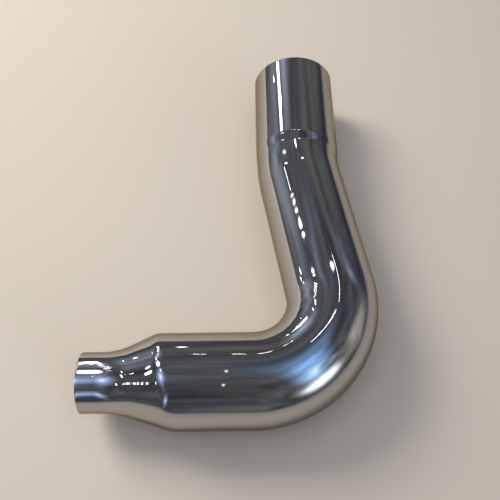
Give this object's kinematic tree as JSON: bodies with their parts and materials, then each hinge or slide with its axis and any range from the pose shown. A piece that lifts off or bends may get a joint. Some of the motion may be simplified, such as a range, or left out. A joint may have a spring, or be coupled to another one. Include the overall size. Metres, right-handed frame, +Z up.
{
  "type": "exhaust elbow",
  "caption": "Chromed exhaust elbow: a swaged-down slip neck, a straight body, a tight bend, a leaning leg and a slight offset bend up to an expanded slip socket.",
  "frame": {"origin": "centre of the neck's open end, on the neck's axis", "axes": "+X into the tube along the neck's axis, +Y out of the socket's mouth along its axis, +Z up, square to the plane in which the tube is bent"},
  "size_m": [0.639, 0.9221, 0.2072],
  "materials": {
    "chrome": "mirror-polished chrome plate on steel tube"
  },
  "bodies": {
    "root": {"exhaust_elbow": "chrome"}
  },
  "joints": []
}
